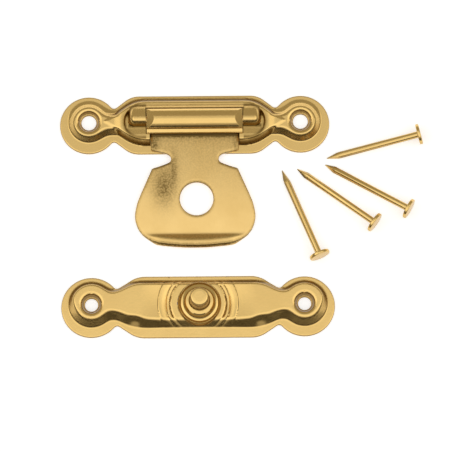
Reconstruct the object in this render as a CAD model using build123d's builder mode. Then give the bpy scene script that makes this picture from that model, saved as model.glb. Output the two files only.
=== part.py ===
from build123d import *
import os
from math import atan, cos, radians, sin, tan

# Case lock: a hinge plate with its hasp flap, the catch plate that the flap snaps on, and four nails.
# X runs along the plates, Y points away from the flap's tip, Z comes out of the surface they lie on.
# The origin is midway between the hinge plate's nail holes, on its back face. Millimetres.

# Sheet and clearances
sheet = 0.4  # pressed sheet of both plates
lid_gap = 0.1  # flap above the flange
running_gap = 0.05  # barrel round its pin
seat_gap = 0.02  # pin in its knuckles
side_gap = 0.2  # barrel's ends in the window
turn_gap = 0.3  # round the turning barrel
slot_gap = 0.12  # each side of the flap where it leaves the housing
spring_gap = 0.12  # barrel above the leaf spring

# Hinge plate; a size that ends in back is measured from the nail hole towards the middle
hole_spacing = 28.3
hinge_hole_r = 1.0
hinge_ear_r = 3.86
hinge_flange_half = 3.95
hinge_corner_back = 5.7
hinge_cut_angle = 37.5
flange_shift = -0.35  # both flanges are wider on the flap's side
flange_corner_r = 1.3
notch_r = 0.45
rim_fillet = 0.12

housing_half = 3.25
housing_height = 1.3
housing_corner_back = 5.95
housing_corner_r = 1.4
housing_end_back = 3.65
housing_end_half = 1.35
housing_end_r = 1.2
housing_slope = 26.0  # degrees from upright
ring_foot_r = 2.8
ring_height = 1.0
ring_slope = 36.0
ring_neck_half = 1.45
ring_neck_r = 0.5
hinge_dimple_r = 1.6
crest_fillet = 0.3

# Hinge
axis_z = 1.9
pin_r = 0.6
pin_cover = 0.65  # knuckle beyond the pin's end
pin_fillet = 0.1
barrel_r = 1.55
barrel_wall = 0.4
barrel_back = 7.75
hip_run = 1.1  # the barrel's top slopes down to its ends, like a hipped roof
hip_drop = 0.8
barrel_slit = 0.9
knuckle_wall = 0.38
knuckle_back = 5.15
knuckle_round = 0.8
pad_r = 2.25
pad_back = 6.9
pad_depth = 0.25

# Flap
flap_sheet = 0.5
shoulder_step = 0.54  # shoulder inside the barrel's end
shoulder_y = -3.85
neck_half = 3.2
neck_top_y = -4.25
neck_low_y = -5.65
neck_fillet = 0.7
cheek_half = 5.75
cheek_y = -6.45
waist_half = 7.27
waist_y = -9.9
widest_half = 8.03
widest_y = -13.0
low_corner_half = 6.93
low_corner_y = -15.55
chin_half = 4.75
chin_y = -16.88
tip_y = -17.6
stud_hole_r = 2.27
stud_hole_y = -10.43
lip_y = -15.4
lip_angle = 35.0
edge_fillet = 0.12

# Catch plate
catch_x = 0.3
catch_y = -24.75
catch_hole_r = 0.87
catch_ear_r = 4.02
catch_flange_half = 4.13
catch_corner_back = 6.0
catch_cut_angle = 34.0
plateau_half = 3.2
plateau_height = 1.1
plateau_corner_back = 5.25
plateau_corner_r = 1.5
plateau_notch_back = 3.2
plateau_notch_r = 0.6
plateau_neck_half = 1.8
plateau_ear_r = 3.15
plateau_slope = 34.0
catch_dimple_r = 1.5
step_radii = (5.45, 4.3, 3.7)  # where the terraces round the stud step up
step_rise = 0.38
step_fall = 0.28  # how far the sheet sinks before each step
step_lean = 0.08  # run of each step's face
terrace_run = 2.4  # how far out the first sinking starts

# Drawn stud: radius, height and how much its skin faces outwards, from the foot to the top
stud_profile = (
    (3.5, 0.4, 1.0),
    (3.15, 1.15, 1.0),
    (2.7, 1.8, 1.0),
    (2.45, 1.75, 0.5),
    (2.0, 1.85, 0.8),
    (1.8, 2.45, 1.0),
    (1.4, 2.7, 1.0),
    (1.25, 3.2, 1.0),
    (1.2, 5.6, 1.0),
)
stud_fillet = 0.1
stud_bore_least = 0.2

# Leaf spring
spring_sheet = 0.15
spring_back = 4.75
spring_width = 3.4
spring_corner_r = 0.6

# Nails: plan place of each point, and the heading from point to head
nail_length = 12.95
nail_r = 0.43
nail_head_r = 1.4
nail_head_sheet = 0.45
nail_head_fillet = 0.12
nail_point = 2.1
nail_tip = 0.08
nail_places = (
    (11.64, -6.67, -67.5),
    (13.67, -6.51, -36.5),
    (17.41, -5.96, -29.6),
    (17.65, -5.08, 13.6),
)

# Worked out from the sizes above
hole_x = hole_spacing / 2
hinge_corner_x = hole_x - hinge_corner_back
housing_corner_x = hole_x - housing_corner_back
housing_end_x = hole_x - housing_end_back
catch_corner_x = hole_x - catch_corner_back
plateau_corner_x = hole_x - plateau_corner_back
plateau_notch_x = hole_x - plateau_notch_back
pad_centre_x = hole_x - pad_back
barrel_half = hole_x - barrel_back
shoulder_half = barrel_half - shoulder_step
barrel_top = axis_z + barrel_r
knuckle_half = hole_x - knuckle_back
pin_half = knuckle_half - pin_cover
spring_half = hole_x - spring_back
housing_top = sheet + housing_height
plateau_top = sheet + plateau_height
window_half = barrel_half + side_gap
window_y = barrel_r + turn_gap
slot_half = shoulder_half + slot_gap
knuckle_r = pin_r + seat_gap + knuckle_wall
flap_z = sheet + lid_gap
hollow_half = barrel_half - hip_run
spring_rise = axis_z - barrel_r - spring_gap - spring_sheet
base_r = stud_profile[1][0]
stud_height = stud_profile[-1][1]
over = 1.0  # how far a cutter runs past a face
far = 2 * hole_x  # beyond the end of any piece
near = 0.1  # how close a corner lies to the line that picks it

os.makedirs("parts", exist_ok=True)


def save(piece, name):
    piece.part.label = name
    export_step(piece.part, f"parts/{name}.step")


def cut_corner_points(half, corner_x, end_x, end_half):
    return [
        (-end_x, end_half),
        (-corner_x, half),
        (corner_x, half),
        (end_x, end_half),
        (end_x, -end_half),
        (corner_x, -half),
        (-corner_x, -half),
        (-end_x, -end_half),
    ]


def flange_outline(ear_r, half, corner_x, cut_angle):
    # Two round ears joined by a longer middle, whose cut corners meet the ears in a notch
    end_x = hole_x - ear_r / 2
    end_half = half - tan(radians(cut_angle)) * (end_x - corner_x)
    with BuildSketch(mode=Mode.PRIVATE) as outline:
        with BuildLine():
            Polyline(*cut_corner_points(half, corner_x, end_x, end_half), close=True)
        make_face()
        fillet([v for v in outline.vertices() if abs(v.X) < corner_x + over], flange_corner_r)
        with Locations((-hole_x, 0), (hole_x, 0)):
            Circle(ear_r)
        fillet([v for v in outline.vertices() if abs(v.X) > hole_x - ear_r], notch_r)
    return outline.sketch


def add_flange(piece, ear_r, half, corner_x, cut_angle, centre):
    # The flat sheet that lies on the surface, with its upper edge broken
    outline = flange_outline(ear_r, half, corner_x, cut_angle)
    with BuildSketch(Plane(centre)) as flange:
        with Locations((0, flange_shift)):
            add(outline)
    extrude(flange.sketch, amount=sheet)
    fillet(piece.edges().group_by(Axis.Z)[-1], rim_fillet)


def neck_outline(inset):
    # Foot of the ear rings and of the necks that join them to the housing
    with BuildSketch(mode=Mode.PRIVATE) as outline:
        Rectangle(hole_spacing, 2 * (ring_neck_half - inset))
        with Locations((-hole_x, 0), (hole_x, 0)):
            Circle(ring_foot_r - inset)
        fillet(outline.vertices(), ring_neck_r + inset)
    return outline.sketch


def housing_outline(inset):
    end_x = housing_end_x - inset
    corner_x = housing_corner_x - inset / 3
    points = cut_corner_points(housing_half - inset, corner_x, end_x, housing_end_half - inset / 2)
    with BuildSketch(mode=Mode.PRIVATE) as outline:
        with BuildLine():
            Polyline(*points, close=True)
        make_face()
        fillet([v for v in outline.vertices() if abs(v.X) < corner_x + near], housing_corner_r - inset)
        fillet([v for v in outline.vertices() if abs(v.X) > end_x - near], housing_end_r - inset)
    return outline.sketch


def plateau_outline(inset):
    end_x = hole_x - plateau_ear_r / 2
    corner_x = plateau_corner_x - inset / 3
    neck = plateau_neck_half - inset
    slope_x = plateau_notch_x - corner_x
    points = [
        (-end_x, neck),
        (-plateau_notch_x, neck),
        (-corner_x, plateau_half - inset),
        (corner_x, plateau_half - inset),
        (plateau_notch_x, neck),
        (end_x, neck),
    ]
    with BuildSketch(mode=Mode.PRIVATE) as outline:
        with BuildLine():
            Polyline(*points, *[(x, -y) for x, y in reversed(points)], close=True)
        make_face()
        with Locations((-hole_x, 0), (hole_x, 0)):
            Circle(plateau_ear_r - inset)
        inner = [v for v in outline.vertices() if abs(v.X) > corner_x + slope_x / 2]
        fillet(inner, plateau_notch_r)
        fillet([v for v in outline.vertices() if abs(v.X) < corner_x + near], plateau_corner_r - inset)
    return outline.sketch


def add_raised(outline, height, slope, skin, centre=(0, 0, 0)):
    # A pressed form with sloping walls: the outer skin, or the hollow one sheet inside it
    lean = tan(radians(slope))
    start = skin * (1 / cos(radians(slope)) - lean)
    low = sheet - skin
    foot_outline = outline(start)
    crest_outline = outline(start + height * lean)
    with BuildSketch(Plane(centre).offset(low)) as foot:
        add(foot_outline)
    with BuildSketch(Plane(centre).offset(low + height)) as crest:
        add(crest_outline)
    loft([foot.sketch.face(), crest.sketch.face()], ruled=True)


def add_turned(points, centre, mode=Mode.ADD, rounding=0.0):
    # A solid turned about the upright line through centre, from a profile of radius and height
    with BuildSketch(Plane(centre, x_dir=(1, 0, 0), z_dir=(0, -1, 0))) as profile:
        with BuildLine():
            Polyline(*points, close=True)
        make_face()
        if rounding:
            steps = [v for v in profile.vertices() if v.X > near and v.Y > sheet + near]
            fillet(steps, rounding)
    revolve(profile.sketch, axis=Axis(centre, (0, 0, 1)), mode=mode)


def cut_dishes(hole_r, dimple_r, height, skin, centre=(0, 0, 0)):
    # The dimple round each nail hole goes down to the flange, where the nail's head clamps it
    low = sheet - skin
    high = low + height
    inner = hole_r + skin / 2
    outer = dimple_r + skin / 2
    points = [(0, low), (inner, low), (outer, high), (outer, high + over), (0, high + over)]
    for x in (-hole_x, hole_x):
        add_turned(points, (centre[0] + x, centre[1], 0), mode=Mode.SUBTRACT)


def hinge_form(skin):
    # The hinge plate's raised form, or its hollow where skin is the sheet's thickness
    with BuildPart() as form:
        add_raised(neck_outline, ring_height, ring_slope, skin)
        if skin == 0:
            fillet(form.faces().sort_by(Axis.Z)[-1].edges(), crest_fillet)
        cut_dishes(hinge_hole_r, hinge_dimple_r, ring_height, skin)
        add_raised(housing_outline, housing_height, housing_slope, skin)
        if skin == 0:
            fillet(form.faces().sort_by(Axis.Z)[-1].edges(), crest_fillet)
        with BuildSketch(Plane.XY.offset(housing_top - skin - pad_depth)) as pads:
            SlotCenterToCenter(2 * pad_centre_x, 2 * (pad_r + skin / 2))
        extrude(pads.sketch, amount=over, mode=Mode.SUBTRACT)
    return form.part


with BuildPart() as hinge_plate:
    add_flange(hinge_plate, hinge_ear_r, hinge_flange_half, hinge_corner_x, hinge_cut_angle, (0, 0, 0))
    add(hinge_form(0))
    add(hinge_form(sheet), mode=Mode.SUBTRACT)
    with BuildSketch() as holes:
        with Locations((-hole_x, 0), (hole_x, 0)):
            Circle(hinge_hole_r)
        Rectangle(2 * window_half, 2 * window_y)
    extrude(amount=housing_top + over, mode=Mode.SUBTRACT)
    with BuildSketch(Plane.XY.offset(sheet)) as slot:
        with Locations((0, -window_y)):
            Rectangle(2 * slot_half, housing_half, align=(Align.CENTER, Align.MAX))
    extrude(amount=housing_top, mode=Mode.SUBTRACT)
    for side in (-1, 1):
        with BuildSketch(Plane((side * window_half, 0, 0), x_dir=(side, 0, 0), z_dir=(0, -side, 0))) as knuckle:
            with Locations((0, axis_z)):
                Rectangle(knuckle_half - window_half, knuckle_r, align=(Align.MIN, Align.MIN))
            fillet(knuckle.vertices().group_by(Axis.Y)[-1].sort_by(Axis.X)[-1], knuckle_round)
        revolve(axis=Axis((0, 0, axis_z), (1, 0, 0)))
    with BuildSketch(Plane.YZ) as pin_bore:
        with Locations((0, axis_z)):
            Circle(pin_r + seat_gap)
    extrude(amount=pin_half + seat_gap, both=True, mode=Mode.SUBTRACT)
save(hinge_plate, "hinge_plate")


def flap_outline():
    half = [
        (shoulder_half, 0),
        (shoulder_half, shoulder_y),
        (neck_half, neck_top_y),
        (neck_half, neck_low_y),
        (cheek_half, cheek_y),
        (waist_half, waist_y),
    ]
    along = (waist_half - cheek_half, waist_y - cheek_y)
    with BuildSketch(mode=Mode.PRIVATE) as outline:
        with BuildLine() as edge:
            Polyline(*half)
            Spline(
                (waist_half, waist_y),
                (widest_half, widest_y),
                (low_corner_half, low_corner_y),
                (chin_half, chin_y),
                (0, tip_y),
                tangents=(along, (-1, 0)),
            )
            mirror(about=Plane.YZ)
            Line((-shoulder_half, 0), (shoulder_half, 0))
        make_face()
        necks = [v for v in outline.vertices() if abs(abs(v.X) - neck_half) < near]
        fillet(necks, neck_fillet)
        with Locations((0, stud_hole_y)):
            Circle(stud_hole_r, mode=Mode.SUBTRACT)
    return outline.sketch


lip_plane = Plane((0, lip_y, flap_z), x_dir=(1, 0, 0), z_dir=(0, sin(radians(lip_angle)), cos(radians(lip_angle))))

with BuildPart() as hasp_flap:
    with BuildSketch(Plane.XY.offset(flap_z)) as blade:
        add(flap_outline())
        with Locations((0, lip_y)):
            Rectangle(far, far, align=(Align.CENTER, Align.MAX), mode=Mode.SUBTRACT)
    extrude(amount=flap_sheet)
    with BuildSketch(lip_plane) as lip:
        with Locations((0, -lip_y)):
            add(flap_outline())
        Rectangle(far, far, align=(Align.CENTER, Align.MIN), mode=Mode.SUBTRACT)
    extrude(amount=flap_sheet)
    top_edges = hasp_flap.faces().filter_by(Axis.Z).sort_by(Axis.Z)[-1].edges()
    fillet([e for e in top_edges if e.center().Y > lip_y + near and e.center().Y < -near], edge_fillet)
    barrel_axis = Axis((0, 0, axis_z), (1, 0, 0))
    with BuildSketch(Plane.XZ) as barrel:
        with Locations((0, axis_z)):
            Rectangle(2 * barrel_half, barrel_r, align=(Align.CENTER, Align.MIN))
    revolve(axis=barrel_axis)
    with BuildSketch(Plane.XZ) as hips:
        with BuildLine():
            Polyline(
                (barrel_half, barrel_top - hip_drop),
                (barrel_half - hip_run, barrel_top),
                (barrel_half, barrel_top),
                close=True,
            )
        make_face()
        mirror(about=Plane.YZ)
    extrude(amount=barrel_r, both=True, mode=Mode.SUBTRACT)
    with BuildSketch(Plane.XZ) as barrel_hollow:
        with Locations((0, axis_z)):
            Rectangle(2 * hollow_half, barrel_r - barrel_wall, align=(Align.CENTER, Align.MIN))
            Rectangle(2 * barrel_half + over, pin_r + running_gap, align=(Align.CENTER, Align.MIN))
    revolve(axis=barrel_axis, mode=Mode.SUBTRACT)
    with BuildSketch() as slit:
        Rectangle(2 * hollow_half, barrel_slit)
    extrude(amount=axis_z, mode=Mode.SUBTRACT)
save(hasp_flap, "hasp_flap")


with BuildPart() as hinge_pin:
    with BuildSketch(Plane.YZ.offset(-pin_half)) as wire:
        with Locations((0, axis_z)):
            Circle(pin_r)
    extrude(amount=2 * pin_half)
    fillet(hinge_pin.edges().filter_by(GeomType.CIRCLE), pin_fillet)
save(hinge_pin, "hinge_pin")


with BuildPart() as leaf_spring:
    with BuildSketch(Plane.XZ) as bow:
        with BuildLine():
            ThreePointArc((-spring_half, 0), (0, spring_rise), (spring_half, 0))
            Line((spring_half, 0), (spring_half, spring_sheet))
            ThreePointArc((spring_half, spring_sheet), (0, spring_rise + spring_sheet), (-spring_half, spring_sheet))
            Line((-spring_half, spring_sheet), (-spring_half, 0))
        make_face()
    extrude(amount=spring_width / 2, both=True)
    fillet(leaf_spring.edges().filter_by(Axis.Z), spring_corner_r)
save(leaf_spring, "leaf_spring")


def terrace_profile(skin):
    # Radius and height of the space above the stepped sheet round the stud
    level = plateau_top - skin
    points = [(far, level), (step_radii[0] + terrace_run, level)]
    for radius in step_radii:
        points.append((radius - skin, level - step_fall))
        level += step_rise - step_fall
        points.append((radius - skin - step_lean, level))
    points.append((base_r - skin, level))
    high = stud_height + over
    return points + [(base_r - skin, high), (far, high)]


def stud_points(skin):
    # The drawn stud's outer skin, or its bore one sheet inside it
    points = [(max(r - skin * out, stud_bore_least), z - skin) for r, z, out in stud_profile]
    return [(0, points[0][1]), *points, (0, points[-1][1])]


def catch_form(skin):
    # The catch plate's raised form with its stud, or its hollow where skin is the sheet's thickness
    centre = (catch_x, catch_y, 0)
    terrace_height = plateau_height + len(step_radii) * (step_rise - step_fall)
    with BuildPart() as form:
        add_raised(plateau_outline, terrace_height, plateau_slope, skin, centre)
        add_turned(terrace_profile(skin), centre, mode=Mode.SUBTRACT)
        cut_dishes(catch_hole_r, catch_dimple_r, plateau_height, skin, centre)
        add_turned(stud_points(skin), centre, rounding=0 if skin else stud_fillet)
    return form.part


with BuildPart() as catch_plate:
    centre = (catch_x, catch_y, 0)
    add_flange(catch_plate, catch_ear_r, catch_flange_half, catch_corner_x, catch_cut_angle, centre)
    add(catch_form(0))
    add(catch_form(sheet), mode=Mode.SUBTRACT)
    with BuildSketch(Plane(centre)) as catch_holes:
        with Locations((-hole_x, 0), (hole_x, 0)):
            Circle(catch_hole_r)
    extrude(amount=plateau_top + over, mode=Mode.SUBTRACT)
save(catch_plate, "catch_plate")


def make_nail(x, y, heading):
    # One pin with a four-sided point, lying on the shoulder of its point and on the rim of its head
    under_head = nail_length - nail_head_sheet
    rise = atan((nail_head_r - nail_r) / (under_head - nail_point))
    turn = radians(heading)
    along = (cos(rise) * cos(turn), cos(rise) * sin(turn), sin(rise))
    tip_height = nail_r * cos(rise) - nail_point * sin(rise)
    lie = Plane((x, y, tip_height), x_dir=(-sin(turn), cos(turn), 0), z_dir=along)
    with BuildPart() as nail:
        with BuildSketch(lie) as tip:
            Rectangle(nail_tip, nail_tip)
        with BuildSketch(lie.offset(nail_point)) as shoulder:
            Rectangle(2 * nail_r, 2 * nail_r)
        loft([tip.sketch.face(), shoulder.sketch.face()], ruled=True)
        with BuildSketch(lie) as shank:
            Circle(nail_r)
        extrude(shank.sketch, amount=nail_point, mode=Mode.INTERSECT)
        with BuildSketch(lie.offset(nail_point)) as shank:
            Circle(nail_r)
        extrude(shank.sketch, amount=under_head - nail_point)
        with BuildSketch(lie.offset(under_head)) as head:
            Circle(nail_head_r)
        extrude(head.sketch, amount=nail_head_sheet)
        rims = [e for e in nail.edges().filter_by(GeomType.CIRCLE) if e.radius > nail_head_r - near]
        fillet(rims, nail_head_fillet)
    return nail


for number, (x, y, heading) in enumerate(nail_places, start=1):
    save(make_nail(x, y, heading), f"nail_{number}")
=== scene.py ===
import math
import bpy
import numpy as np
from mathutils import Matrix, Vector


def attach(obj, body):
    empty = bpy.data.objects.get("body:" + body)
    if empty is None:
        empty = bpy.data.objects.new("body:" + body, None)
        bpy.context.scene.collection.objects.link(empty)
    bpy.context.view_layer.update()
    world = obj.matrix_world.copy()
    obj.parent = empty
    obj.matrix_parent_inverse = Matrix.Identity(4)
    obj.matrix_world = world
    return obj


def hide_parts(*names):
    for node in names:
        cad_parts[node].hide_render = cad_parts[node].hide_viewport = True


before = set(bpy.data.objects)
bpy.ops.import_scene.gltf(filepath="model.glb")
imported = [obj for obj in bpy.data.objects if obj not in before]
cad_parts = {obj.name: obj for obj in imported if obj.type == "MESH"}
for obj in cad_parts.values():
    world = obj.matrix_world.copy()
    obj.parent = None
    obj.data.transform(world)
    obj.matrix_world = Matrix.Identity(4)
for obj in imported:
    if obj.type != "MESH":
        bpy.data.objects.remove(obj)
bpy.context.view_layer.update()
mm = 0.001  # the dictionaries of the pieces are in millimetres and degrees
noLimit = 9  # more than any height of the pieces


def deselectAll():
    if bpy.context.object and bpy.context.object.mode != "OBJECT":
        bpy.ops.object.mode_set(mode="OBJECT")
    bpy.ops.object.select_all(action="DESELECT")


def activate(piece):
    deselectAll()
    piece.select_set(True)
    bpy.context.view_layer.objects.active = piece


def applyModifier(piece, kind, **settings):
    modifier = piece.modifiers.new(kind.title(), kind)
    for name, value in settings.items():
        setattr(modifier, name, value)
    activate(piece)
    bpy.ops.object.modifier_apply(modifier=modifier.name)


def roundEdges(piece, width, angle):
    applyModifier(
        piece, "BEVEL", width=width, segments=3,
        limit_method="ANGLE", angle_limit=math.radians(angle),
    )


def joinPieces(main, *others):
    activate(main)
    for other in others:
        other.select_set(True)
    bpy.ops.object.join()


def toMetres(piece, centre=(0, 0, 0)):
    piece.data.transform(Matrix.Translation(Vector(centre) * mm) @ Matrix.Scale(mm, 4))
    piece.data.update()


def shadeSmooth(piece, angle=40):
    activate(piece)
    bpy.ops.object.shade_smooth_by_angle(angle=math.radians(angle))


def readPoints(mesh):
    points = np.zeros(len(mesh.vertices) * 3)
    mesh.vertices.foreach_get("co", points)
    return points.reshape(-1, 3)


def writePoints(mesh, points):
    mesh.vertices.foreach_set("co", points.ravel())
    mesh.update()


def paint(mesh, name, values):
    # A value for every point, which the materials read by its name
    layer = mesh.attributes.new(name, "FLOAT", "POINT")
    layer.data.foreach_set("value", np.clip(values, 0, 3).astype(np.float32))


# Shapes in plan and in section

def ease(t):
    t = np.clip(t, 0, 1)
    return t * t * (3 - 2 * t)


def near(value, centre, spread):
    return np.exp(-(((value - centre) / spread) ** 2))


def meet(a, b, blend):
    # Two outlines joined, with a rounded inner corner
    h = np.clip(0.5 + 0.5 * (b - a) / blend, 0, 1)
    return b * (1 - h) + a * h - blend * h * (1 - h)


def cross(a, b, blend):
    # What two outlines share, with a rounded outer corner
    return -meet(-a, -b, blend)


def wall(t, foot=0.15, shoulder=0.35):
    # A pressed wall: a tight bend at its foot, and a rounder shoulder at its top
    t = np.clip(t, 0, 1)
    slope = 1 / (1 - (foot + shoulder) / 2)
    rise = slope * (t - foot / 2)
    rise = np.where(t < foot, slope * t * t / (2 * foot), rise)
    return np.where(t > 1 - shoulder, 1 - slope * (1 - t) ** 2 / (2 * shoulder), rise)


def along(value, knots):
    # Eased steps between pairs of place and height
    z = np.full_like(value, knots[-1][1])
    for (r0, z0), (r1, z1) in zip(knots[:-1], knots[1:]):
        part = (value >= r0) & (value < r1)
        z = np.where(part, z0 + (z1 - z0) * ease((value - r0) / (r1 - r0)), z)
    return np.where(value < knots[0][0], knots[0][1], z)


def earsAndMiddle(x, y, holeX, earR, half, cornerX, cutAngle, neckHalf, corner, notch):
    # How far outside the outline of two round ears, their necks and a middle with cut corners
    x, y = np.abs(x), np.abs(y)
    angle = math.radians(cutAngle)
    side = y - half
    slant = (x - cornerX) * math.sin(angle) + side * math.cos(angle)
    middle = np.maximum(cross(side, slant, corner), x - holeX)
    ear = np.hypot(x - holeX, y) - earR
    neck = np.maximum(y - neckHalf, x - holeX)
    return meet(meet(ear, middle, notch), neck, notch)


def plateOutline(p, x, y):
    return earsAndMiddle(
        x, y - p["shiftY"], p["holeX"], p["earR"], p["half"], p["cornerX"], p["cutAngle"],
        p["leastNeck"], p["cornerRound"], p["notchRound"],
    )


def plateRim(p, x, y):
    # The plate's outline and its two nail holes
    return np.maximum(plateOutline(p, x, y), p["holeR"] - np.hypot(np.abs(x) - p["holeX"], y))


def plateLimits(p):
    # Corners of the flat grid that a plate is cut from
    reachX, reachY = p["holeX"] + p["earR"] + 0.1, p["half"] + 0.1
    return (-reachX, p["shiftY"] - reachY), (reachX, p["shiftY"] + reachY)


def outward(rim, x, y, small=0.01):
    # Direction in plan away from the outline's inside, and its steepness
    gx = (rim(x + small, y) - rim(x - small, y)) / (2 * small)
    gy = (rim(x, y + small) - rim(x, y - small)) / (2 * small)
    size = np.maximum(np.hypot(gx, gy), 0.4)
    return gx / size, gy / size, size


def pressSheet(name, plate, limits, rim, height, gaps, tidyUp=None, under=None):
    # A flat grid is cut to the outline and pressed into relief, and gets the sheet's thickness
    low, high = limits
    spacing, sheet, edge = plate["spacing"], plate["sheet"], plate["edge"]
    cells = [round((high[i] - low[i]) / spacing) for i in (0, 1)]
    deselectAll()
    bpy.ops.mesh.primitive_grid_add(x_subdivisions=cells[0], y_subdivisions=cells[1], size=1)
    piece = bpy.context.object
    piece.name = name
    mesh = piece.data
    points = readPoints(mesh)
    for i in (0, 1):
        points[:, i] = low[i] + (points[:, i] + 0.5) * cells[i] * spacing
    if tidyUp:
        tidyUp(points)
    points[:, 2] = height(points[:, 0], points[:, 1])
    writePoints(mesh, points)
    corners = np.zeros(len(mesh.polygons) * 4, int)
    mesh.polygons.foreach_get("vertices", corners)
    quads = points[corners.reshape(-1, 4)]
    middle = quads.mean(1)
    waste = (rim(middle[:, 0], middle[:, 1]) > -edge) | gaps(middle[:, 0], middle[:, 1])
    waste |= np.ptp(quads[:, :, 2], axis=1) > plate["cliff"]
    pickFaces(piece, waste)
    bpy.ops.object.mode_set(mode="EDIT")
    bpy.ops.mesh.delete(type="FACE")
    bpy.ops.object.mode_set(mode="OBJECT")
    rollRim(piece, rim, height, edge, spacing)
    mesh = piece.data
    count = len(mesh.vertices)
    applyModifier(piece, "SOLIDIFY", thickness=sheet, offset=-1)
    # the underside follows the top at the sheet's thickness, measured square to the slope
    points = readPoints(mesh)
    x, y, top = points[:count, 0], points[:count, 1], points[:count, 2]
    smooth = under or height
    reach = 0.15
    rise = np.hypot(
        smooth(x + reach, y) - smooth(x - reach, y), smooth(x, y + reach) - smooth(x, y - reach)
    ) / (2 * reach)
    depth = sheet * np.minimum(np.sqrt(1 + rise ** 2), 2)
    points[count:, :2] = points[:count, :2]
    bottom = np.minimum(smooth(x, y) - depth, top - sheet / 2)
    points[count:, 2] = np.maximum(bottom, plate["least"])
    writePoints(mesh, points)
    return piece


def clearPick(piece, kind):
    activate(piece)
    bpy.ops.object.mode_set(mode="EDIT")
    bpy.ops.mesh.select_mode(type=kind)
    bpy.ops.mesh.select_all(action="DESELECT")
    bpy.ops.object.mode_set(mode="OBJECT")


def pickFaces(piece, chosen):
    clearPick(piece, "FACE")
    piece.data.polygons.foreach_set("select", chosen)


def pickEdges(piece, chosen):
    clearPick(piece, "EDGE")
    piece.data.edges.foreach_set("select", chosen)


def borderEdges(mesh):
    used = np.zeros(len(mesh.edges), int)
    loops = np.zeros(len(mesh.loops), int)
    mesh.loops.foreach_get("edge_index", loops)
    np.add.at(used, loops, 1)
    ends = np.zeros(len(mesh.edges) * 2, int)
    mesh.edges.foreach_get("vertices", ends)
    return used == 1, ends.reshape(-1, 2)


def rollRim(piece, rim, height, edge, spacing):
    # The cut border is drawn onto the outline, then extruded round the sheet's broken edge
    mesh = piece.data
    isBorder, ends = borderEdges(mesh)
    points = readPoints(mesh)
    border = np.unique(ends[isBorder])
    border = border[np.abs(rim(points[border, 0], points[border, 1]) + edge) < 1.5 * spacing]
    for _ in range(4):
        x, y = points[border, 0], points[border, 1]
        gx, gy, size = outward(rim, x, y)
        off = (rim(x, y) + edge) / size
        points[border, 0] -= off * gx
        points[border, 1] -= off * gy
    points[:, 2] = height(points[:, 0], points[:, 1])
    writePoints(mesh, points)
    onRim = np.zeros(len(mesh.vertices), bool)
    onRim[border] = True
    chosen = isBorder & onRim[ends[:, 0]] & onRim[ends[:, 1]]
    pickEdges(piece, chosen)
    out = down = 0
    for turn in (30, 60, 90):
        bpy.ops.object.mode_set(mode="EDIT")
        bpy.ops.mesh.extrude_edges_indiv()
        bpy.ops.object.mode_set(mode="OBJECT")
        picked = np.zeros(len(mesh.vertices), bool)
        mesh.vertices.foreach_get("select", picked)
        points = readPoints(mesh)
        gx, gy, _ = outward(rim, points[picked, 0], points[picked, 1])
        nextOut = edge * math.sin(math.radians(turn))
        nextDown = edge * (1 - math.cos(math.radians(turn)))
        points[picked, 0] += gx * (nextOut - out)
        points[picked, 1] += gy * (nextOut - out)
        points[picked, 2] -= nextDown - down
        writePoints(mesh, points)
        out, down = nextOut, nextDown


def findSteep(piece, start=0.8, full=0.45):
    # One where the surface stands upright, for painted shade on walls and cut edges
    count = len(piece.data.vertices)
    normals = np.zeros(count * 3, np.float32)
    piece.data.vertex_normals.foreach_get("vector", normals)
    return np.clip((start - np.abs(normals[2::3])) / (start - full), 0, 1)


hollows = {
    "reaches": (0.2, 0.4),  # how far round a point the relief is compared with it
    "gain": 0.2,
    "most": 0.3,
    "steep": (0.75, 0.5),
}


def findHollows(piece, height, shade=None):
    # Where the relief is hollow or steep, for tarnish in the hollows and painted shade in them and
    # on the steep walls
    points = readPoints(piece.data)
    x, y = points[:, 0], points[:, 1]
    total = np.zeros(len(x))
    for reach in hollows["reaches"]:
        turns = np.linspace(0, math.tau, 9)[:-1]
        around = sum(height(x + reach * math.cos(a), y + reach * math.sin(a)) for a in turns) / 8
        total += (around - height(x, y)) / reach
    own = shade(x, y) if shade else 0
    own = own + np.clip(total * hollows["gain"], 0, hollows["most"])
    paint(piece.data, "tarnishWearAndShade", own + findSteep(piece, *hollows["steep"]))


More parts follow.
